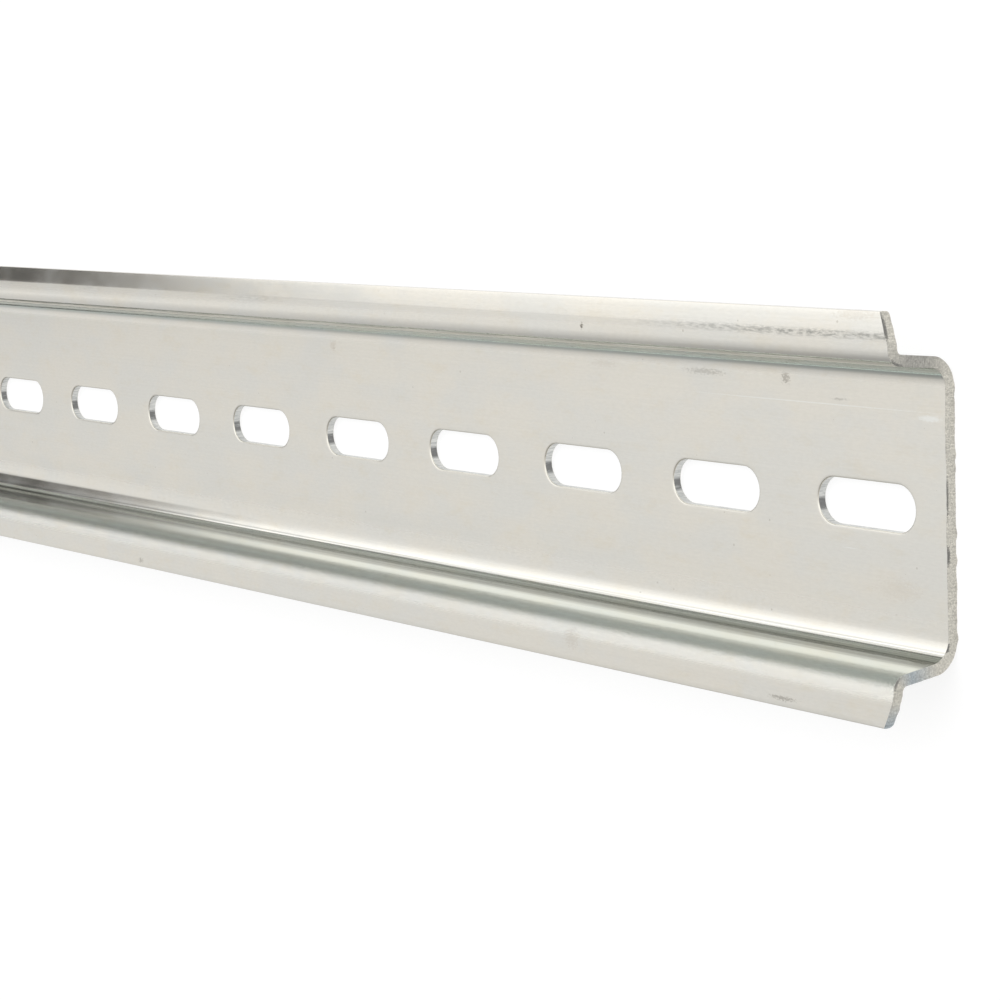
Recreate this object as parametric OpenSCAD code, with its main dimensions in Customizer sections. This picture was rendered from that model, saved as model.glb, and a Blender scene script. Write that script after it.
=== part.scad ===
// Slotted top-hat mounting rail, 35 x 7.5 mm, cold-rolled from zinc-plated steel strip.
// One bent strip: a flat back with slots, two walls and two flanges that devices clip onto.
// X runs along the rail, Y across it, and Z from the back face out to the flanges.
// The origin is the middle of the back face, which lies on Z = 0.

/* [Rail] */
// Length that the rail is sold in
rail_length = 500; // [200:20:2000]
// Width over the two flanges
rail_width = 35; // [33:0.5:40]
// Depth from the back face to the front of the flanges
rail_depth = 7.5; // [6.5:0.5:15]
// Thickness of the strip
strip_t = 1; // [0.8:0.1:1.2]

/* [Channel] */
// Width over the walls, where they leave the back bends
channel_width = 27; // [24:0.5:28]
// Angle that each wall leans outwards, in degrees
wall_lean = 6; // [1:1:8]
// Outside radius of the bends between back and walls
back_bend_r = 2.7; // [1.8:0.1:3]
// Front radius of the bends between walls and flanges
flange_bend_r = 1.5; // [1.25:0.05:2]
// Radius of the rolled back edge of each flange tip
tip_r = 0.4; // [0.2:0.1:0.6]

/* [Slots] */
// Distance from one slot to the next, and twice that from the end to the first
slot_pitch = 20; // [16:1:30]
// Overall length of a slot
slot_length = 12.2; // [8:0.1:14]
// Width of a slot, for an M4 screw
slot_width = 4.2; // [3.2:0.1:6.4]

/* [Ends] */
// How far the cut-off tool sets back the flange tips at each end
tip_setback = 1.4; // [0.2:0.1:2.5]

/* [Hidden] */
$fn = 48;
// Overrun of a cutting tool past the face that it cuts
past = 1;

// Back bend: the strip turns from the back into the wall
back_bend_y = channel_width / 2 - back_bend_r * cos(wall_lean);
wall_start_z = back_bend_r * (1 - sin(wall_lean));

// Flange bend: it turns the other way, round a centre behind the flange
flange_back_r = flange_bend_r - strip_t;
wall_end_z = rail_depth - flange_bend_r + flange_back_r * sin(wall_lean);
wall_len = (wall_end_z - wall_start_z) / cos(wall_lean);
wall_end_y = channel_width / 2 + wall_len * sin(wall_lean);
flange_bend_y = wall_end_y + flange_back_r * cos(wall_lean);
flange_len = rail_width / 2 - flange_bend_y;

// Slots that fit between the ends
slot_count = floor(rail_length / slot_pitch);

// Quarter of the plane round the origin, right and down, out past a radius
module quarter(r) {
    translate([0, -r - past])
        square(r + past);
}

// Strip bent round the origin, from straight down until it leans like the wall
module bend(r_out) {
    intersection() {
        difference() {
            circle(r = r_out);
            circle(r = r_out - strip_t);
        }
        quarter(r_out);
        rotate(-wall_lean)
            quarter(r_out);
    }
}

// Flange in section from the end of its bend, with its back edge rolled round at the tip
module flange_section() {
    difference() {
        square([flange_len, strip_t]);
        translate([flange_len - tip_r, 0])
            difference() {
                translate([0, -past])
                    square([tip_r + past, tip_r + past]);
                translate([0, tip_r])
                    circle(r = tip_r);
            }
    }
}

// One side of the rail in section, from its middle to the flange tip. Each run of the
// strip is placed from the end of the run before it, so they join at any size.
module half_section() {
    square([back_bend_y, strip_t]);
    translate([back_bend_y, back_bend_r]) {
        bend(back_bend_r);
        rotate(-wall_lean)
            translate([back_bend_r - strip_t, 0]) {
                square([strip_t, wall_len]);
                translate([flange_bend_r, wall_len]) {
                    mirror([1, 0])
                        rotate(90)
                            bend(flange_bend_r);
                    rotate(wall_lean)
                        translate([0, flange_back_r])
                            flange_section();
                }
            }
    }
}

// Round-ended slot through the back
module slot() {
    straight = slot_length - slot_width;
    translate([0, 0, -past])
        linear_extrude(strip_t + 2 * past) {
            square([straight, slot_width], center = true);
            for (side = [-1, 1])
                translate([side * straight / 2, 0])
                    circle(d = slot_width);
        }
}

// Slant that the cut-off tool leaves across the end of one flange
module tip_cut() {
    translate([0, 0, strip_t + past])
        linear_extrude(rail_depth)
            polygon([
                [0, flange_bend_y],
                [-tip_setback, rail_width / 2],
                [-tip_setback, rail_width / 2 + past],
                [past, rail_width / 2 + past],
                [past, flange_bend_y]
            ]);
}

// The whole rail: one strip, bent, slotted and cut to length
module rail() {
    color([0.80, 0.79, 0.76])
        difference() {
            rotate([90, 0, 90])
                linear_extrude(rail_length, center = true) {
                    half_section();
                    mirror([1, 0]) half_section();
                }
            for (i = [0 : slot_count - 1])
                translate([(i - (slot_count - 1) / 2) * slot_pitch, 0, 0])
                    slot();
            for (along = [0, 1], across = [0, 1])
                mirror([along, 0, 0]) mirror([0, across, 0])
                    translate([rail_length / 2, 0, 0])
                        tip_cut();
        }
}

rail();
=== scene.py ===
"""Looks of a slotted top-hat mounting rail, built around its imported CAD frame.

The rail lies on its back, open side up. X runs along it, Y across it and Z up, in metres.
"""

import math

import bmesh
import bpy
from mathutils import Matrix, Vector, noise


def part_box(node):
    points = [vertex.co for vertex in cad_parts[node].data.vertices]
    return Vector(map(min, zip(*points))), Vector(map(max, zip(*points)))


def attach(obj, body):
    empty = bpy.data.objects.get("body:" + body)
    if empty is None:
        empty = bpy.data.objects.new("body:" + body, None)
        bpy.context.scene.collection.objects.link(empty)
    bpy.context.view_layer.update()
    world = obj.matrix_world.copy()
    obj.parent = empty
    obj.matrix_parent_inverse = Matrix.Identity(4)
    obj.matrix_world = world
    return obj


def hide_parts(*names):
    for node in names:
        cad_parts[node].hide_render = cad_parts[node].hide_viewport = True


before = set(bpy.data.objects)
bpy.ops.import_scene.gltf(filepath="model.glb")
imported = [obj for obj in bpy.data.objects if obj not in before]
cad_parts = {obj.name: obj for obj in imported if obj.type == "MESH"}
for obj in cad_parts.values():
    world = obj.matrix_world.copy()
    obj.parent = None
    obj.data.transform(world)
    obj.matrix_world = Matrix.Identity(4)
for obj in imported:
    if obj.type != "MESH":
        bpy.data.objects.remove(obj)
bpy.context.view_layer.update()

# ---------------------------------------------------------------------------
# Camera
# It stands off one end of the rail, above the open side, and is rolled so that
# the width of the rail stands upright in the picture.
# ---------------------------------------------------------------------------

low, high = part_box("rail")
END_X = high.x

camera_data = bpy.data.cameras.new("camera")
camera_data.sensor_width = 36.0
camera_data.lens = 103.1
camera_data.clip_start = 0.01
camera_data.clip_end = 50.0
camera = bpy.data.objects.new("camera", camera_data)
bpy.context.scene.collection.objects.link(camera)
camera_place = Vector((END_X + 0.1702, 0.0348, 0.1711))
view_direction = Vector((-0.8015, -0.1343, -0.5826)).normalized()
picture_up = Vector((-0.0889, 0.9903, -0.1065))
picture_right = view_direction.cross(picture_up).normalized()
picture_up = picture_right.cross(view_direction).normalized()
camera.matrix_world = Matrix.Translation(camera_place) @ Matrix((
    (picture_right.x, picture_up.x, -view_direction.x),
    (picture_right.y, picture_up.y, -view_direction.y),
    (picture_right.z, picture_up.z, -view_direction.z),
)).to_4x4()
bpy.context.scene.camera = camera

# ---------------------------------------------------------------------------
# Rail strip
# One strip of cold-rolled steel, zinc plated: slotted in a press, bent in rolls
# to a top-hat section, and cut to length in a die that leaves grey sheared ends.
# ---------------------------------------------------------------------------

MM = 0.001
STRIP_T = 1.0
HALF_WIDTH = high.y / MM
DEPTH = high.z / MM
HALF_LENGTH = high.x / MM
CHANNEL_HALF = 13.5
WALL_LEAN = math.radians(6)
BACK_BEND_R = 2.7
FLANGE_BEND_R = 1.5
TIP_R = 0.4
TIP_FRONT_R = 0.12
SLOT_PITCH = 20.0
SLOT_HALF_WIDTH = 2.1
SLOT_HALF_STRAIGHT = 4.0
TIP_SETBACK = 1.2
TIP_CUT_Y = 14.6
CREASE = 20.3
# Where the web starts to lift and where the low start of the flange ends, on the -Y side.
LIFT_START = 10.2
LOW_END = -20.0
FLANGE_SIDE = 15.0
DROOP_SLOPE = 0.085
DROOP_CURVE = 0.03
LIFT_REACH = 1.2
LIFT_CURVE = 0.028
LIFT_FADE = 6.0
LOW_REACH = 0.7
LOW_CURVE = 0.12


def strip_pieces():
    """Runs of the strip's midline from its middle to a flange tip, as (name, length, curvature)."""
    turn = math.pi / 2 - WALL_LEAN
    back_r = BACK_BEND_R - STRIP_T / 2
    flange_r = FLANGE_BEND_R - STRIP_T / 2
    flange_in_r = FLANGE_BEND_R - STRIP_T
    web = CHANNEL_HALF - BACK_BEND_R * math.cos(WALL_LEAN)
    wall_low = BACK_BEND_R * (1 - math.sin(WALL_LEAN))
    wall_high = DEPTH - FLANGE_BEND_R + flange_in_r * math.sin(WALL_LEAN)
    wall = (wall_high - wall_low) / math.cos(WALL_LEAN)
    flange_start = CHANNEL_HALF + wall * math.sin(WALL_LEAN) + flange_in_r * math.cos(WALL_LEAN)
    return [
        ("web", web, 0.0),
        ("back_bend", back_r * turn, 1 / back_r),
        ("wall", wall, 0.0),
        ("flange_bend", flange_r * turn, -1 / flange_r),
        ("flange", HALF_WIDTH - flange_start, 0.0),
    ]


PIECES = strip_pieces()
HALF_STRIP = sum(length for _, length, _ in PIECES)
WEB_EDGE = 10.2


def strip_point(x, across, height):
    """Point of the strip in metres. Across is measured along the bent midline from the middle,
    and height runs from -0.5 on the back face to 0.5 on the front face."""
    left = abs(across)
    side = 1 if across >= 0 else -1
    y, z, heading = 0.0, STRIP_T / 2, 0.0
    for _, length, curve in PIECES:
        step = min(left, length)
        if curve:
            turned = heading + step * curve
            y += (math.sin(turned) - math.sin(heading)) / curve
            z -= (math.cos(turned) - math.cos(heading)) / curve
            heading = turned
        else:
            y += step * math.cos(heading)
            z += step * math.sin(heading)
        left -= step
    y -= height * STRIP_T * math.sin(heading)
    z += height * STRIP_T * math.cos(heading) + give(across)
    return Vector((x, side * y, z)) * MM


def give(across):
    """How far, in mm, the rolls left the strip off its true section: the +Y flange droops a little
    past a soft crease. On the other side the web lifts a hair before the bend, and the flange
    starts low."""
    droop = max(0.0, across - CREASE)
    lift = min(LIFT_REACH, max(0.0, -LIFT_START - across))
    fade = min(1.0, max(0.0, (-across - PIECES[0][1]) / LIFT_FADE))
    low = min(LOW_REACH, max(0.0, across - LOW_END)) if across < -FLANGE_SIDE else 0.0
    raised = LIFT_CURVE * lift ** 2 * (1 - fade) - LOW_CURVE * low ** 2
    return raised - DROOP_SLOPE * droop - DROOP_CURVE * droop ** 2


class StripMesh:
    """A bmesh whose vertices remember where on the strip they lie."""

    def __init__(self, mesh=None):
        self.mesh = bmesh.new()
        if mesh:
            self.mesh.from_mesh(mesh)
        layers = self.mesh.verts.layers.float
        self.across = layers.get("across") or layers.new("across")
        self.height = layers.get("height") or layers.new("height")
        self.lip = layers.get("lip") or layers.new("lip")
        self.sheared = layers.get("sheared") or layers.new("sheared")

    def vertex(self, x, across, height, lip=0.0, sheared=0.0):
        made = self.mesh.verts.new(strip_point(x, across, height))
        made[self.across] = across
        made[self.height] = height
        made[self.lip] = lip
        made[self.sheared] = sheared
        return made

    def grid(self, rows, closed=False):
        """Joins rows of vertices with quads."""
        for low_row, high_row in zip(rows, rows[1:]):
            count = len(low_row) if closed else len(low_row) - 1
            for i in range(count):
                j = (i + 1) % len(low_row)
                self.mesh.faces.new((low_row[i], low_row[j], high_row[j], high_row[i]))


PIECE_STEPS = {"web": 2, "back_bend": 11, "wall": 3, "flange_bend": 10, "flange": 6}
TIP_STEPS = 4


def side_stations():
    """Distances across the strip for the rows of a side, from the web's edge towards the tip."""
    stations = [WEB_EDGE]
    done = 0.0
    for name, length, _ in PIECES:
        start = max(WEB_EDGE, done)
        done += length
        steps = PIECE_STEPS[name]
        stations += [start + (done - start) * (i + 1) / steps for i in range(steps)]
    return stations[:-1]


def tip_outline():
    """Points round a flange tip from its front face to its back face, as (across, height)."""
    turns = [math.pi / 2 * i / TIP_STEPS for i in range(TIP_STEPS + 1)]
    front = [
        (HALF_STRIP - TIP_FRONT_R * (1 - math.sin(a)), 0.5 - TIP_FRONT_R / STRIP_T * (1 - math.cos(a)))
        for a in turns
    ]
    back = [
        (HALF_STRIP - TIP_R * (1 - math.cos(a)), -0.5 + TIP_R / STRIP_T * (1 - math.sin(a)))
        for a in turns
    ]
    return front + back


# Divisions along a tile, up half its edge, and round a quarter of a slot.
TILE_STEPS = 16
EDGE_STEPS = 4
ARC_STEPS = 8


def slot_rings():
    """Points round a slot and the matching points on the edge of its tile, each as (x, y)."""
    half = SLOT_PITCH / 2
    straight_steps = (TILE_STEPS // 2) - (ARC_STEPS - EDGE_STEPS)
    slot_quarter, tile_quarter = [], []
    for i in range(ARC_STEPS):
        a = math.pi / 2 * i / ARC_STEPS
        round_x = SLOT_HALF_STRAIGHT + SLOT_HALF_WIDTH * math.cos(a)
        slot_quarter.append((round_x, SLOT_HALF_WIDTH * math.sin(a)))
    for i in range(straight_steps + 1):
        slot_quarter.append((SLOT_HALF_STRAIGHT * (1 - i / straight_steps), SLOT_HALF_WIDTH))
    for i in range(EDGE_STEPS):
        tile_quarter.append((half, WEB_EDGE * i / EDGE_STEPS))
    for i in range(TILE_STEPS // 2 + 1):
        tile_quarter.append((half - SLOT_PITCH * i / TILE_STEPS, WEB_EDGE))
    quarter = list(zip(slot_quarter, tile_quarter))
    ring = []
    for sx, sy in ((1, 1), (-1, 1), (-1, -1), (1, -1)):
        part = quarter if sx == sy else quarter[::-1]
        ring += [((sx * a, sy * b), (sx * c, sy * d)) for (a, b), (c, d) in part[:-1]]
    return ring


def away_from_slot(x, y):
    """Unit vector away from the slot's middle line."""
    centre = max(-SLOT_HALF_STRAIGHT, min(SLOT_HALF_STRAIGHT, x))
    return Vector((x - centre, y)).normalized()


# Distance from the slot and drop below the face: the punch rolls the front edge in.
FRONT_ROLL = ((0.0, 0.12), (0.02, 0.07), (0.055, 0.035), (0.11, 0.014), (0.19, 0.004), (0.33, 0.0))
BACK_ROLL = ((0.03, 0.04), (0.08, 0.0), (0.30, 0.0))
SPREAD = (0.0, 0.16, 0.36, 0.62, 1.0)
# Distance and height of the rows down a slot's wall, and the wall's value of the sheared
# attribute, which runs from 0 on the plated faces to 1 on the cut ends.
PUNCHED_WALL = ((-0.004, 0.33), (-0.012, 0.1), (0.0, -0.2), (0.015, -0.4))
PUNCHED = 0.5


def make_slot_tile():
    """One pitch of the strip with its slot, open at both ends, for the row below."""
    strip = StripMesh()
    ring = slot_rings()

    def slot_row(gap, height):
        row = []
        for (x, y), _ in ring:
            n = away_from_slot(x, y)
            row.append(strip.vertex(x + n.x * gap, y + n.y * gap, height, lip=1.0 - gap / 0.4))
        return row

    def face_rows(roll, side):
        rows = [slot_row(gap, side * (0.5 - drop)) for gap, drop in roll]
        start = roll[-1][0]
        for part in SPREAD[1:]:
            row = []
            for (x, y), (far_x, far_y) in ring:
                n = away_from_slot(x, y)
                near_x, near_y = x + n.x * start, y + n.y * start
                row.append(strip.vertex(
                    near_x + (far_x - near_x) * part, near_y + (far_y - near_y) * part, side * 0.5))
            rows.append(row)
        return rows

    front = face_rows(FRONT_ROLL, 1)
    back = face_rows(BACK_ROLL, -1)
    strip.grid(front, closed=True)
    strip.grid(back, closed=True)
    wall = [slot_row(gap, height) for gap, height in PUNCHED_WALL]
    for row in wall:
        for v in row:
            v[strip.sheared] = PUNCHED
    strip.grid([front[0], *wall, back[0]], closed=True)

    stations = side_stations()
    outline = [(s, 0.5) for s in stations] + tip_outline() + [(s, -0.5) for s in reversed(stations)]
    columns = [-SLOT_PITCH / 2 + SLOT_PITCH * i / TILE_STEPS for i in range(TILE_STEPS + 1)]
    for side in (1, -1):
        strip.grid([[strip.vertex(x, side * s, h) for x in columns] for s, h in outline])
    bmesh.ops.remove_doubles(strip.mesh, verts=strip.mesh.verts, dist=1e-7)
    made = bpy.data.meshes.new("slot_tile")
    strip.mesh.to_mesh(made)
    strip.mesh.free()
    tile = bpy.data.objects.new("slot_tile", made)
    bpy.context.scene.collection.objects.link(tile)
    return tile


def rail_row_tree():
    """Geometry Nodes that set tiles in a row along X, centred, and weld them."""
    tree = bpy.data.node_groups.new("rail_row", "GeometryNodeTree")
    for name, kind in (
        ("Tile", "NodeSocketObject"), ("Count", "NodeSocketInt"),
        ("Pitch", "NodeSocketFloat"), ("Material", "NodeSocketMaterial"),
    ):
        tree.interface.new_socket(name, in_out="INPUT", socket_type=kind)
    tree.interface.new_socket("Geometry", in_out="OUTPUT", socket_type="NodeSocketGeometry")
    inputs = tree.nodes.new("NodeGroupInput").outputs
    result = tree.nodes.new("NodeGroupOutput")

    def link(value, socket):
        tree.links.new(value, socket)

    first = tree.nodes.new("ShaderNodeMath")
    first.operation = "SUBTRACT"
    first.inputs[0].default_value = 1.0
    link(inputs["Count"], first.inputs[1])
    start_x = tree.nodes.new("ShaderNodeMath")
    start_x.operation = "MULTIPLY"
    link(first.outputs[0], start_x.inputs[0])
    half_pitch = tree.nodes.new("ShaderNodeMath")
    half_pitch.operation = "MULTIPLY"
    half_pitch.inputs[1].default_value = 0.5
    link(inputs["Pitch"], half_pitch.inputs[0])
    link(half_pitch.outputs[0], start_x.inputs[1])
    start = tree.nodes.new("ShaderNodeCombineXYZ")
    link(start_x.outputs[0], start.inputs["X"])
    step = tree.nodes.new("ShaderNodeCombineXYZ")
    link(inputs["Pitch"], step.inputs["X"])
    row = tree.nodes.new("GeometryNodeMeshLine")
    link(inputs["Count"], row.inputs["Count"])
    link(start.outputs[0], row.inputs["Start Location"])
    link(step.outputs[0], row.inputs["Offset"])
    tile_info = tree.nodes.new("GeometryNodeObjectInfo")
    link(inputs["Tile"], tile_info.inputs["Object"])
    copies = tree.nodes.new("GeometryNodeInstanceOnPoints")
    link(row.outputs["Mesh"], copies.inputs["Points"])
    link(tile_info.outputs["Geometry"], copies.inputs["Instance"])
    real = tree.nodes.new("GeometryNodeRealizeInstances")
    link(copies.outputs["Instances"], real.inputs["Geometry"])
    weld = tree.nodes.new("GeometryNodeMergeByDistance")
    weld.inputs["Distance"].default_value = 1e-6
    link(real.outputs["Geometry"], weld.inputs["Geometry"])
    finish = tree.nodes.new("GeometryNodeSetMaterial")
    link(weld.outputs["Geometry"], finish.inputs["Geometry"])
    link(inputs["Material"], finish.inputs["Material"])
    link(finish.outputs["Geometry"], result.inputs["Geometry"])
    return tree


def grow(tree, values):
    """Plain mesh that a Geometry Nodes tree makes from these input values."""
    holder = bpy.data.objects.new("holder", bpy.data.meshes.new("holder"))
    bpy.context.scene.collection.objects.link(holder)
    modifier = holder.modifiers.new("grow", "NODES")
    modifier.node_group = tree
    for item in tree.interface.items_tree:
        if item.in_out == "INPUT":
            modifier[item.identifier] = values[item.name]
    bpy.context.view_layer.update()
    depsgraph = bpy.context.evaluated_depsgraph_get()
    mesh = bpy.data.meshes.new_from_object(holder.evaluated_get(depsgraph))
    holder.modifiers.clear()
    bpy.data.objects.remove(holder)
    return mesh


# Where a finely divided end meets the row of tiles, and from where the tiles are drawn in for it.
CUT_JOIN = HALF_LENGTH - 2.8
SQUEEZE_FROM = HALF_LENGTH - 3.5
CUT_STEP = 0.13
CUT_LAYERS = 7
CUT_TIP_STEPS = 7
# How far in from the cut the rows of its skin lie.
CUT_SKIN = (0.03, 0.10, 0.25, 0.55, 1.0)


def cut_x(across, height, seed):
    """Distance along X, in mm, of a sheared end at a place on the strip."""
    y = abs(strip_point(0, across, height).y) / MM
    past = max(0.0, y - TIP_CUT_Y) / (HALF_WIDTH - TIP_CUT_Y)
    torn = max(0.0, -height - 0.1) / 0.4
    grain = noise.noise(Vector((across * 1.7, height * 1.5, seed))) * 0.035
    grain += noise.noise(Vector((across * 6.0, height * 4.0, seed + 7))) * 0.03 * (0.3 + torn)
    burr = max(0.0, noise.noise(Vector((across * 0.9, 3.1, seed)))) * 0.28 * torn ** 3
    rolled = max(0.0, height - 0.25) / 0.25
    rolled_depth = 0.05 + 0.16 * max(0.0, noise.noise(Vector((across * 0.35, 8.2, seed))) + 0.1)
    return HALF_LENGTH - 0.10 - TIP_SETBACK * past ** 1.25 + grain + burr - rolled_depth * rolled ** 2


TIP_TURN = 3.0


def along_outline(across, height):
    """How far round the section's outline a point lies, front first and then back, where the turn
    round a tip counts as TIP_TURN."""
    straight = HALF_STRIP - TIP_R
    if abs(across) > straight:
        side = 1 if across > 0 else -1
        angle = math.atan2(height, (abs(across) - straight) / STRIP_T)
        turned = (math.pi / 2 - angle) / math.pi
        return side * (straight + TIP_TURN * turned)
    if height > 0:
        return across
    return straight + TIP_TURN + straight - across


def close_end(strip, side, seed):
    """Adds a sheared end, finely divided, and joins it to the open end of the row of tiles."""
    reach = HALF_LENGTH * MM
    rim = [v for v in strip.mesh.verts if v.is_boundary and v.co.x * side > 0.9 * reach]
    squeeze = (CUT_JOIN - SQUEEZE_FROM) / (HALF_LENGTH - SQUEEZE_FROM)
    for v in strip.mesh.verts:
        past = v.co.x * side - SQUEEZE_FROM * MM
        if past > 0:
            v.co.x = side * (SQUEEZE_FROM * MM + past * squeeze)
    stations = []
    count = round(2 * (HALF_STRIP - TIP_R) / CUT_STEP)
    for i in range(count + 1):
        stations.append((HALF_STRIP - TIP_R) * (2 * i / count - 1))
    rounded = []
    for i in range(1, CUT_TIP_STEPS + 1):
        rounded.append(HALF_STRIP - TIP_R * (1 - math.sin(math.pi / 2 * i / CUT_TIP_STEPS)))
    stations = [-s for s in reversed(rounded)] + stations + rounded

    def heights(across):
        near_tip = max(0.0, abs(across) - (HALF_STRIP - TIP_R))
        near_front = max(0.0, abs(across) - (HALF_STRIP - TIP_FRONT_R))
        back = -0.5 + TIP_R - math.sqrt(max(0.0, TIP_R ** 2 - near_tip ** 2))
        front = 0.5 - TIP_FRONT_R + math.sqrt(max(0.0, TIP_FRONT_R ** 2 - near_front ** 2))
        return back, front

    def place(across, height, inset, sheared):
        x = cut_x(across, height, seed) - inset
        return strip.vertex(side * x, across, height, sheared=sheared)

    face = []
    for layer in range(CUT_LAYERS + 1):
        row = []
        for s in stations:
            back, front = heights(s)
            row.append(place(s, back + (front - back) * layer / CUT_LAYERS, 0.0, 1.0))
        face.append(row)
    strip.grid(face)
    outline = face[-1] + [row[-1] for row in face[-2:0:-1]]
    outline += face[0][::-1] + [row[0] for row in face[1:-1]]
    rows = [outline]
    for inset in CUT_SKIN:
        rows.append([place(v[strip.across], v[strip.height], inset, 0.0) for v in outline])
    strip.grid(rows, closed=True)
    sew(strip, rows[-1], rim)


def sew(strip, fine, coarse):
    """Joins two closed rows of unlike counts with triangles, in step round the outline."""
    def place(v):
        return along_outline(v[strip.across], v[strip.height])

    fine = sorted(fine, key=place)
    coarse = sorted(coarse, key=place)
    i = j = 0
    while i < len(fine) or j < len(coarse):
        next_fine, next_coarse = fine[(i + 1) % len(fine)], coarse[(j + 1) % len(coarse)]
        fine_at = place(next_fine) if i + 1 < len(fine) else math.inf
        coarse_at = place(next_coarse) if j + 1 < len(coarse) else math.inf
        if j == len(coarse) or (i < len(fine) and fine_at <= coarse_at):
            strip.mesh.faces.new((fine[i % len(fine)], coarse[j % len(coarse)], next_fine))
            i += 1
        else:
            strip.mesh.faces.new((fine[i % len(fine)], coarse[j % len(coarse)], next_coarse))
            j += 1


def add_node(tree, kind, *values, **settings):
    """Adds a node. Values go to its inputs in order, and None leaves an input as it is."""
    made = tree.nodes.new(kind)
    for name, value in settings.items():
        setattr(made, name, value)
    for socket, value in zip(made.inputs, values):
        if value is None:
            continue
        if isinstance(value, bpy.types.NodeSocket):
            tree.links.new(value, socket)
        else:
            socket.default_value = value
    return made


def calc(tree, operation, *values):
    return add_node(tree, "ShaderNodeMath", *values, operation=operation).outputs[0]


def vector_calc(tree, operation, *values):
    return add_node(tree, "ShaderNodeVectorMath", *values, operation=operation).outputs[0]


def spread(tree, value, start, end, to_start=0.0, to_end=1.0, smooth=True):
    """Maps a value from one range to another, clamped at both ends."""
    kind = "SMOOTHSTEP" if smooth else "LINEAR"
    made = add_node(
        tree, "ShaderNodeMapRange", value, start, end, to_start, to_end, interpolation_type=kind)
    return made.outputs[0]


def mix(tree, factor, first, second, mode="MIX"):
    made = tree.nodes.new("ShaderNodeMix")
    made.data_type = "RGBA"
    made.blend_type = mode
    for index, value in ((0, factor), (6, first), (7, second)):
        if isinstance(value, bpy.types.NodeSocket):
            tree.links.new(value, made.inputs[index])
        else:
            made.inputs[index].default_value = value
    return made.outputs[2]


def field(tree, at, scale, detail, roughness):
    """Cloudy value between 0 and 1."""
    made = add_node(tree, "ShaderNodeTexNoise", at)
    made.inputs["Scale"].default_value = scale
    made.inputs["Detail"].default_value = detail
    made.inputs["Roughness"].default_value = roughness
    return made.outputs["Fac"]


def ramp(tree, value, stops):
    """Colour ramp: stops are (place, colour)."""
    made = add_node(tree, "ShaderNodeValToRGB", value)
    band = made.color_ramp
    band.elements[0].position, band.elements[0].color = stops[0]
    band.elements[1].position, band.elements[1].color = stops[-1]
    for place, colour in stops[1:-1]:
        band.elements.new(place).color = colour
    return made.outputs["Color"]


# Marks on the front face, each (middle along, middle across, half length, half width, strength).
DARK_MARKS = (
    (209.0, 19.5, 0.2, 0.3, 0.9),
    (236.0, -21.5, 1.5, 0.2, 0.5),
    (230.0, 10.5, 0.5, 0.5, 0.5),
    (219.0, 10.5, 2.5, 0.3, 0.3),
    (237.0, 9.0, 1.0, 0.1, 0.3),
    (122.0, -21.5, 0.5, 0.3, 0.4),
    (-60.0, 9.0, 1.0, 0.3, 0.4),
    (-148.0, -20.5, 0.8, 0.3, 0.5),
)
STAINS = (
    (206.0, -20.0, 1.0, 1.0, 0.6),
    (156.0, 10.0, 0.6, 0.6, 0.7),
    (204.0, 10.5, 2.0, 0.4, 0.4),
    (246.0, 22.0, 2.5, 0.5, 0.5),
    (244.0, -7.0, 2.5, 1.0, 0.3),
    (-104.0, 4.5, 2.0, 0.7, 0.3),
)
PALE_MARKS = (
    (233.0, 8.5, 17.0, 0.06, 0.4),
    (248.0, 8.0, 1.5, 0.3, 0.5),
    (238.0, -4.0, 1.0, 0.05, 0.4),
    (-185.0, -5.0, 9.0, 0.05, 0.4),
)
# Stretches of a cut end's front edge that were rolled in, with painted shade on them, in the same manner,
# with the depth below the front face, three times enlarged, in place of the distance along.
ROLLED_IN_SHADE = (
    (0.0, 21.0, 0.8, 1.3, 0.9),
    (0.0, 18.0, 0.6, 0.6, 0.7),
    (0.0, 1.5, 0.5, 2.0, 0.8),
    (0.0, -3.5, 0.8, 1.0, 0.9),
    (0.0, -11.5, 0.5, 0.6, 0.9),
    (0.0, -18.5, 0.5, 0.5, 0.7),
)


def mark_field(tree, on_face, wobble, marks):
    """How strongly a list of marks shows at a place: soft ovals with ragged edges."""
    total = 0.0
    for along, across, half_length, half_width, strength in marks:
        offset = vector_calc(tree, "SUBTRACT", on_face, (along, across, 0.0))
        scaled = vector_calc(tree, "MULTIPLY", offset, (1 / half_length, 1 / half_width, 0.0))
        length = add_node(tree, "ShaderNodeVectorMath", scaled, operation="LENGTH").outputs["Value"]
        shown = spread(tree, calc(tree, "ADD", length, wobble), 1.15, 0.45, 0.0, strength)
        total = calc(tree, "MAXIMUM", total, shown)
    return total


def on_ramp(across):
    """Place of a distance across the strip, in mm, on a ramp that takes 0.5 + across / 50."""
    return 0.5 + across / 50.0


def shade(red, green, blue):
    return (red, green, blue, 1)


PLAIN_ZINC = shade(0.72, 0.70, 0.65)
# Painted highlight, painted shade and a cool painted reflection, put into the plating colour.
HIGHLIGHT_ZINC = shade(0.87, 0.86, 0.81)
COOL_REFLECTION_ZINC = shade(0.75, 0.79, 0.76)
HALF_SHADE_ZINC = shade(0.45, 0.48, 0.45)
DEEP_SHADE_ZINC = shade(0.22, 0.24, 0.21)
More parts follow.
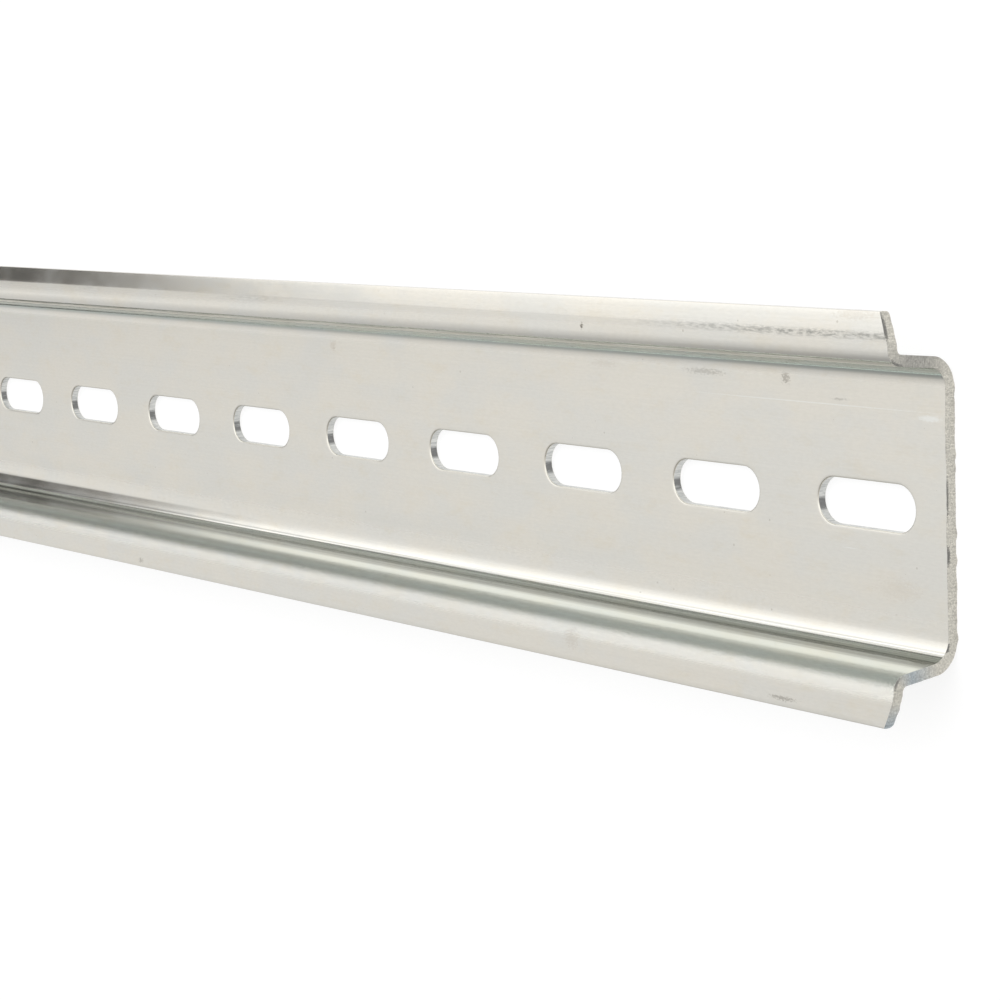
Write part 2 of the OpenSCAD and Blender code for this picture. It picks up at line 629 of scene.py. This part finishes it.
# Plating tone across the strip with painted light in it: painted highlights on the -Y crest and in the
# lower bend, painted shade in the bends, and a cool painted reflection on the walls.
ZINC_TONES_AND_PAINTED_LIGHT = [
    (on_ramp(-20.0), PLAIN_ZINC),
    (on_ramp(-19.5), HIGHLIGHT_ZINC),
    (on_ramp(-19.0), HIGHLIGHT_ZINC),
    (on_ramp(-18.5), DEEP_SHADE_ZINC),
    (on_ramp(-18.0), HALF_SHADE_ZINC),
    (on_ramp(-17.0), COOL_REFLECTION_ZINC),
    (on_ramp(-16.0), COOL_REFLECTION_ZINC),
    (on_ramp(-15.0), DEEP_SHADE_ZINC),
    (on_ramp(-14.5), HALF_SHADE_ZINC),
    (on_ramp(-13.5), DEEP_SHADE_ZINC),
    (on_ramp(-13.0), HALF_SHADE_ZINC),
    (on_ramp(-12.5), HIGHLIGHT_ZINC),
    (on_ramp(-11.5), PLAIN_ZINC),
    (on_ramp(11.5), PLAIN_ZINC),
    (on_ramp(12.0), HALF_SHADE_ZINC),
    (on_ramp(12.5), COOL_REFLECTION_ZINC),
    (on_ramp(19.0), PLAIN_ZINC),
]
BARE_STEEL = shade(0.60, 0.58, 0.52)
TORN_STEEL = shade(0.40, 0.39, 0.36)
BLUED_STEEL = shade(0.40, 0.44, 0.46)
# Tone of the sheared ends: bare on the web, torn at one bend and blued at the other.
CUT_TONES = [
    (on_ramp(-22.0), BLUED_STEEL),
    (on_ramp(-20.0), BARE_STEEL),
    (on_ramp(-18.5), BARE_STEEL),
    (on_ramp(-17.0), BLUED_STEEL),
    (on_ramp(-14.0), BARE_STEEL),
    (on_ramp(12.0), BARE_STEEL),
    (on_ramp(15.0), TORN_STEEL),
    (on_ramp(17.0), TORN_STEEL),
    (on_ramp(20.0), BARE_STEEL),
]


def zinc_material():
    material = bpy.data.materials.new("zinc_plated_steel")
    material.use_nodes = True
    tree = material.node_tree
    shader = tree.nodes["Principled BSDF"]
    shader.inputs["Metallic"].default_value = 1.0

    def attribute(name):
        return add_node(tree, "ShaderNodeAttribute", attribute_name=name).outputs["Fac"]

    across = attribute("across")
    height = attribute("height")
    lip = attribute("lip")
    sheared = attribute("sheared")
    place = add_node(tree, "ShaderNodeTexCoord").outputs["Object"]
    in_mm = vector_calc(tree, "MULTIPLY", place, (1000.0, 1000.0, 1000.0))
    axes = add_node(tree, "ShaderNodeSeparateXYZ", in_mm).outputs
    along = axes["X"]
    deep = calc(tree, "MULTIPLY", height, 40.0)
    on_strip = add_node(tree, "ShaderNodeCombineXYZ", along, across, deep).outputs[0]
    front = spread(tree, height, 0.2, 0.4)
    end_cut = spread(tree, sheared, 0.7, 0.9)
    punched = calc(tree, "SUBTRACT", spread(tree, sheared, 0.2, 0.4), end_cut)

    def clouds_at(scales, detail=4.0, roughness=0.6):
        return field(tree, vector_calc(tree, "MULTIPLY", on_strip, scales), 1.0, detail, roughness)

    # plating tone across the strip with its painted highlight and shade bands, with ragged edges between
    # the tones
    grain = clouds_at((7.0, 11.0, 1.0), 3.0, 0.65)
    crest = calc(
        tree, "MULTIPLY",
        spread(tree, across, -17.0, -17.9),
        spread(tree, across, -20.4, -19.4),
    )
    lower_bend = calc(
        tree, "MULTIPLY",
        spread(tree, across, -11.9, -12.3),
        spread(tree, across, -16.4, -15.6),
    )
    ragged_crest = calc(tree, "MULTIPLY", crest, 0.75)
    ragged = calc(tree, "ADD", ragged_crest, calc(tree, "MULTIPLY", lower_bend, 0.3))
    wander = calc(tree, "MULTIPLY", ragged, calc(tree, "SUBTRACT", grain, 0.5))
    toned_at = calc(tree, "ADD", across, wander)
    tone = ramp(tree, calc(tree, "MULTIPLY_ADD", toned_at, 0.02, 0.5), ZINC_TONES_AND_PAINTED_LIGHT)

    # faint warm and cool clouds, fine grain, and roll lines that show in the lower bend
    clouds = clouds_at((0.09, 0.16, 1.0))
    patches = clouds_at((0.22, 0.5, 1.0), 5.0, 0.7)
    clouded = spread(tree, clouds, 0.38, 0.62)
    cloud_tone = mix(tree, clouded, shade(1.0, 0.990, 0.965), shade(0.98, 0.99, 0.995))
    patched = spread(tree, patches, 0.5, 0.72)
    patch_tone = mix(tree, patched, shade(1.0, 1.0, 1.0), shade(0.985, 0.968, 0.935))
    fine_tone = spread(tree, clouds_at((1.4, 4.0, 1.0), 3.0, 0.7), 0.3, 0.7, 0.975, 1.015)
    colour = mix(tree, 1.0, tone, cloud_tone, "MULTIPLY")
    colour = mix(tree, 1.0, colour, patch_tone, "MULTIPLY")
    colour = mix(tree, 1.0, colour, fine_tone, "MULTIPLY")
    lines = clouds_at((0.02, 5.0, 1.0), 3.0, 0.6)
    line_depth = spread(tree, lower_bend, 0.0, 1.0, 0.02, 0.45, smooth=False)
    lined = calc(tree, "MULTIPLY", line_depth, spread(tree, lines, 0.3, 0.7))
    line_tone = calc(tree, "SUBTRACT", 1.0, lined)
    colour = mix(tree, 1.0, colour, line_tone, "MULTIPLY")

    # a dark, broken line along the crease of the +Y flange, darker towards the near end
    crease_mottle = clouds_at((1.1, 5.0, 1.0), 5.0, 0.75)
    runs = clouds_at((0.05, 0.3, 1.0), 1.0, 0.5)
    off_crease = calc(tree, "SUBTRACT", across, CREASE - 0.1)
    on_crease = calc(
        tree, "MULTIPLY",
        spread(tree, off_crease, -0.5, 0.0),
        spread(tree, off_crease, 0.55, 0.1),
    )
    near_end_weight = calc(
        tree, "MAXIMUM",
        spread(tree, along, 208.0, 240.0),
        calc(tree, "MULTIPLY", spread(tree, runs, 0.5, 0.7), 0.4),
    )
    crease_dark = calc(tree, "MULTIPLY", on_crease, spread(tree, crease_mottle, 0.4, 0.62))
    crease_dark = calc(tree, "MULTIPLY", crease_dark, near_end_weight)
    colour = mix(tree, calc(tree, "MULTIPLY", crease_dark, 0.8), colour, shade(0.26, 0.26, 0.24))

    # specks of dirt, thicker near the +Y bend, and the marks of handling
    cells = add_node(tree, "ShaderNodeTexVoronoi", on_strip)
    cells.inputs["Scale"].default_value = 0.8
    speck_size = add_node(tree, "ShaderNodeSeparateXYZ", cells.outputs["Color"]).outputs["X"]
    from_bend = calc(tree, "ABSOLUTE", calc(tree, "SUBTRACT", across, WEB_EDGE))
    near_bend = spread(tree, from_bend, 1.2, 0.0, 0.0, 0.12)
    speck_edge = spread(tree, speck_size, 0.72, 1.0, -0.02, 0.10, smooth=False)
    speck = calc(tree, "LESS_THAN", cells.outputs["Distance"], speck_edge)
    speck_tone = calc(tree, "MULTIPLY", speck, calc(tree, "ADD", near_bend, 0.3))
    colour = mix(tree, speck_tone, colour, shade(0.30, 0.26, 0.20))
    raggedness = clouds_at((3.0, 6.0, 1.0), 4.0, 0.8)
    wobble = spread(tree, raggedness, 0.25, 0.75, -1.4, 1.4, smooth=False)
    soft_wobble = calc(tree, "MULTIPLY", wobble, 0.35)
    stained = calc(tree, "MULTIPLY", mark_field(tree, on_strip, wobble, STAINS), front)
    colour = mix(tree, calc(tree, "MULTIPLY", stained, 0.45), colour, shade(0.50, 0.43, 0.34))
    dirty = calc(tree, "MULTIPLY", mark_field(tree, on_strip, wobble, DARK_MARKS), front)
    colour = mix(tree, dirty, colour, shade(0.20, 0.18, 0.15))
    paled = calc(tree, "MULTIPLY", mark_field(tree, on_strip, soft_wobble, PALE_MARKS), front)
    colour = mix(tree, paled, colour, shade(0.84, 0.86, 0.85))

    # slot edges: painted brownish shade on the rim above, a painted highlight on the one below, and walls
    # streaked by the punch, with a painted dark reflection on each
    rim = calc(tree, "MULTIPLY", spread(tree, lip, 0.8, 1.0), front)
    # painted highlight on the lower rim and painted shade on the upper rim
    rim_shade_side = spread(tree, across, -0.8, 0.8)
    rim_highlight_and_shade = mix(tree, rim_shade_side, shade(0.97, 0.94, 0.84), shade(0.50, 0.45, 0.37))
    colour = mix(tree, calc(tree, "MULTIPLY", rim, 0.7), colour, rim_highlight_and_shade)
    from_far_end = calc(tree, "ADD", along, HALF_LENGTH + SLOT_PITCH)
    in_pitch = calc(tree, "MODULO", from_far_end, SLOT_PITCH)
    in_slot = calc(tree, "SUBTRACT", in_pitch, SLOT_PITCH / 2)
    streaks = field(tree, vector_calc(tree, "MULTIPLY", in_mm, (5.0, 5.0, 0.5)), 1.0, 3.0, 0.7)
    wall_tone = mix(tree, spread(tree, streaks, 0.3, 0.7), shade(0.46, 0.47, 0.46), shade(0.74, 0.74, 0.71))
    # a dark patch painted on each slot wall: painted reflection of the shadowed floor
    dark_reflection_patch = calc(
        tree, "MULTIPLY",
        spread(tree, in_slot, -5.3, -5.8),
        spread(tree, calc(tree, "ABSOLUTE", calc(tree, "ADD", across, 0.45)), 0.75, 0.35),
    )
    dark_reflection_patch = calc(tree, "MULTIPLY", dark_reflection_patch, spread(tree, streaks, 0.25, 0.5))
    wall_tone = mix(tree, calc(tree, "MULTIPLY", dark_reflection_patch, 0.85), wall_tone, shade(0.13, 0.13, 0.13))
    colour = mix(tree, punched, colour, wall_tone)

    # sheared ends: torn grey steel, streaked through the thickness, with painted shade where the edge
    # rolled in
    tear = field(tree, in_mm, 7.0, 4.0, 0.75)
    cut_tone = ramp(tree, calc(tree, "MULTIPLY_ADD", across, 0.02, 0.5), CUT_TONES)
    cut_streaks = clouds_at((0.3, 6.0, 0.02), 4.0, 0.7)
    torn_tone = calc(
        tree, "MULTIPLY",
        spread(tree, tear, 0.28, 0.72, 0.70, 1.25),
        spread(tree, cut_streaks, 0.3, 0.7, 0.85, 1.12),
    )
    torn = mix(tree, 1.0, cut_tone, torn_tone, "MULTIPLY")
    off_front = calc(tree, "MULTIPLY", calc(tree, "SUBTRACT", 0.44, height), 3.0)
    from_edge = add_node(tree, "ShaderNodeCombineXYZ", off_front, across, 0.0).outputs[0]
    edge_wobble = calc(tree, "MULTIPLY_ADD", tear, 1.6, -0.8)
    # painted shade on the rolled-in stretches of the front edge
    rolled_in_shade = mark_field(tree, from_edge, edge_wobble, ROLLED_IN_SHADE)
    torn = mix(tree, calc(tree, "MULTIPLY", rolled_in_shade, 0.85), torn, shade(0.10, 0.10, 0.10))
    colour = mix(tree, end_cut, colour, torn)
    tree.links.new(colour, shader.inputs["Base Color"])

    # satin on the flats, smooth where the rolls pressed the bends
    distance = calc(tree, "ABSOLUTE", across)
    pressed = calc(
        tree, "MULTIPLY",
        calc(tree, "MAXIMUM", spread(tree, distance, 10.4, 11.6), spread(tree, across, -8.4, -10.6)),
        spread(tree, distance, 19.2, 20.2, 1.0, 0.0),
    )
    rough = spread(tree, pressed, 0.0, 1.0, 0.34, 0.13, smooth=False)
    drooped = spread(tree, across, CREASE - 0.3, CREASE + 0.3)
    rough = calc(tree, "MINIMUM", rough, spread(tree, drooped, 0.0, 1.0, 1.0, 0.15, smooth=False))
    rough = calc(tree, "ADD", rough, spread(tree, clouds, 0.3, 0.7, -0.03, 0.03))
    rough = calc(tree, "MAXIMUM", rough, calc(tree, "MULTIPLY", end_cut, 0.55))
    rough = calc(tree, "MAXIMUM", rough, calc(tree, "MULTIPLY", punched, 0.40))
    tree.links.new(rough, shader.inputs["Roughness"])

    # relief: faint roll lines, orange-peel sparkle on the crest, torn grain on the ends
    def relief(height_value, strength, depth, below=None):
        made = add_node(tree, "ShaderNodeBump")
        made.inputs["Distance"].default_value = depth
        if isinstance(strength, float):
            made.inputs["Strength"].default_value = strength
        else:
            tree.links.new(strength, made.inputs["Strength"])
        tree.links.new(height_value, made.inputs["Height"])
        if below:
            tree.links.new(below, made.inputs["Normal"])
        return made.outputs[0]

    peel = clouds_at((6.5, 10.0, 1.0), 3.0, 0.7)
    surface = relief(lines, 0.08, 0.00001)
    surface = relief(peel, calc(tree, "MULTIPLY_ADD", crest, 0.9, 0.02), 0.00005, surface)
    surface = relief(tear, calc(tree, "MULTIPLY", end_cut, 0.6), 0.0001, surface)
    surface = relief(streaks, calc(tree, "MULTIPLY", punched, 0.5), 0.00006, surface)
    tree.links.new(surface, shader.inputs["Normal"])
    return material


def make_rail():
    """The whole rail: a row of slotted tiles between two sheared ends."""
    tile = make_slot_tile()
    count = round(2 * HALF_LENGTH / SLOT_PITCH)
    row = grow(rail_row_tree(), {
        "Tile": tile, "Count": count, "Pitch": SLOT_PITCH * MM, "Material": zinc_material(),
    })
    bpy.data.objects.remove(tile)
    zinc = row.materials[-1]
    row.materials.clear()
    row.materials.append(zinc)
    strip = StripMesh(row)
    for face in strip.mesh.faces:
        face.material_index = 0
    close_end(strip, 1, 0.0)
    close_end(strip, -1, 50.0)
    bmesh.ops.recalc_face_normals(strip.mesh, faces=strip.mesh.faces)
    strip.mesh.to_mesh(row)
    strip.mesh.free()
    row.shade_smooth()
    row.set_sharp_from_angle(angle=math.radians(40))
    rail = bpy.data.objects.new("rail_strip", row)
    bpy.context.scene.collection.objects.link(rail)
    return rail


rail = make_rail()
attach(rail, "root")
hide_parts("rail")

# ---------------------------------------------------------------------------
# Studio
# A pale floor that glows a little, so that it stays white around a soft shadow,
# inside a big light tent: bright towards +Y, dimmer towards -Y and the far end.
# ---------------------------------------------------------------------------

FLOOR_REACH = 30.0
FLOOR_GLOW = 0.8
TENT_LEVEL = 1.45
FAR_DIMMING = 1.35


def make_floor():
    mesh = bpy.data.meshes.new("floor")
    corners = [(x * FLOOR_REACH, y * FLOOR_REACH, 0.0) for x, y in ((-1, -1), (1, -1), (1, 1), (-1, 1))]
    mesh.from_pydata(corners, [], [(0, 1, 2, 3)])
    floor = bpy.data.objects.new("floor", mesh)
    bpy.context.scene.collection.objects.link(floor)
    material = bpy.data.materials.new("floor")
    material.use_nodes = True
    tree = material.node_tree
    tree.nodes.clear()
    matte = add_node(tree, "ShaderNodeBsdfDiffuse", shade(0.25, 0.25, 0.25))
    glow = add_node(tree, "ShaderNodeEmission", shade(1.0, 1.0, 1.0), FLOOR_GLOW)
    both = add_node(tree, "ShaderNodeAddShader", matte.outputs[0], glow.outputs[0])
    add_node(tree, "ShaderNodeOutputMaterial", both.outputs[0])
    mesh.materials.append(material)
    return floor


def light_studio():
    world = bpy.data.worlds.new("studio")
    bpy.context.scene.world = world
    world.use_nodes = True
    tree = world.node_tree
    tree.nodes.clear()
    towards = add_node(tree, "ShaderNodeTexCoord").outputs["Generated"]
    axes = add_node(tree, "ShaderNodeSeparateXYZ", towards).outputs
    across_light = ramp(tree, spread(tree, axes["Y"], -1.0, 1.0, smooth=False), [
        (0.10, shade(0.2, 0.2, 0.2)),
        (0.25, shade(0.5, 0.5, 0.5)),
        (0.45, shade(0.7, 0.7, 0.7)),
        (0.65, shade(1.0, 1.0, 1.0)),
    ])
    far = spread(tree, axes["X"], -0.85, -0.88)
    upper = spread(tree, axes["Y"], -0.10, 0.05)
    level = calc(tree, "MULTIPLY_ADD", calc(tree, "MULTIPLY", far, upper), -FAR_DIMMING, TENT_LEVEL)
    tent = add_node(tree, "ShaderNodeBackground", across_light, level)
    backdrop = add_node(tree, "ShaderNodeBackground", shade(1.0, 1.0, 1.0), 1.0)
    seen = add_node(tree, "ShaderNodeLightPath").outputs["Is Camera Ray"]
    both = add_node(tree, "ShaderNodeMixShader", seen, tent.outputs[0], backdrop.outputs[0])
    add_node(tree, "ShaderNodeOutputWorld", both.outputs[0])


make_floor()
light_studio()
bpy.context.scene.view_settings.view_transform = "Standard"
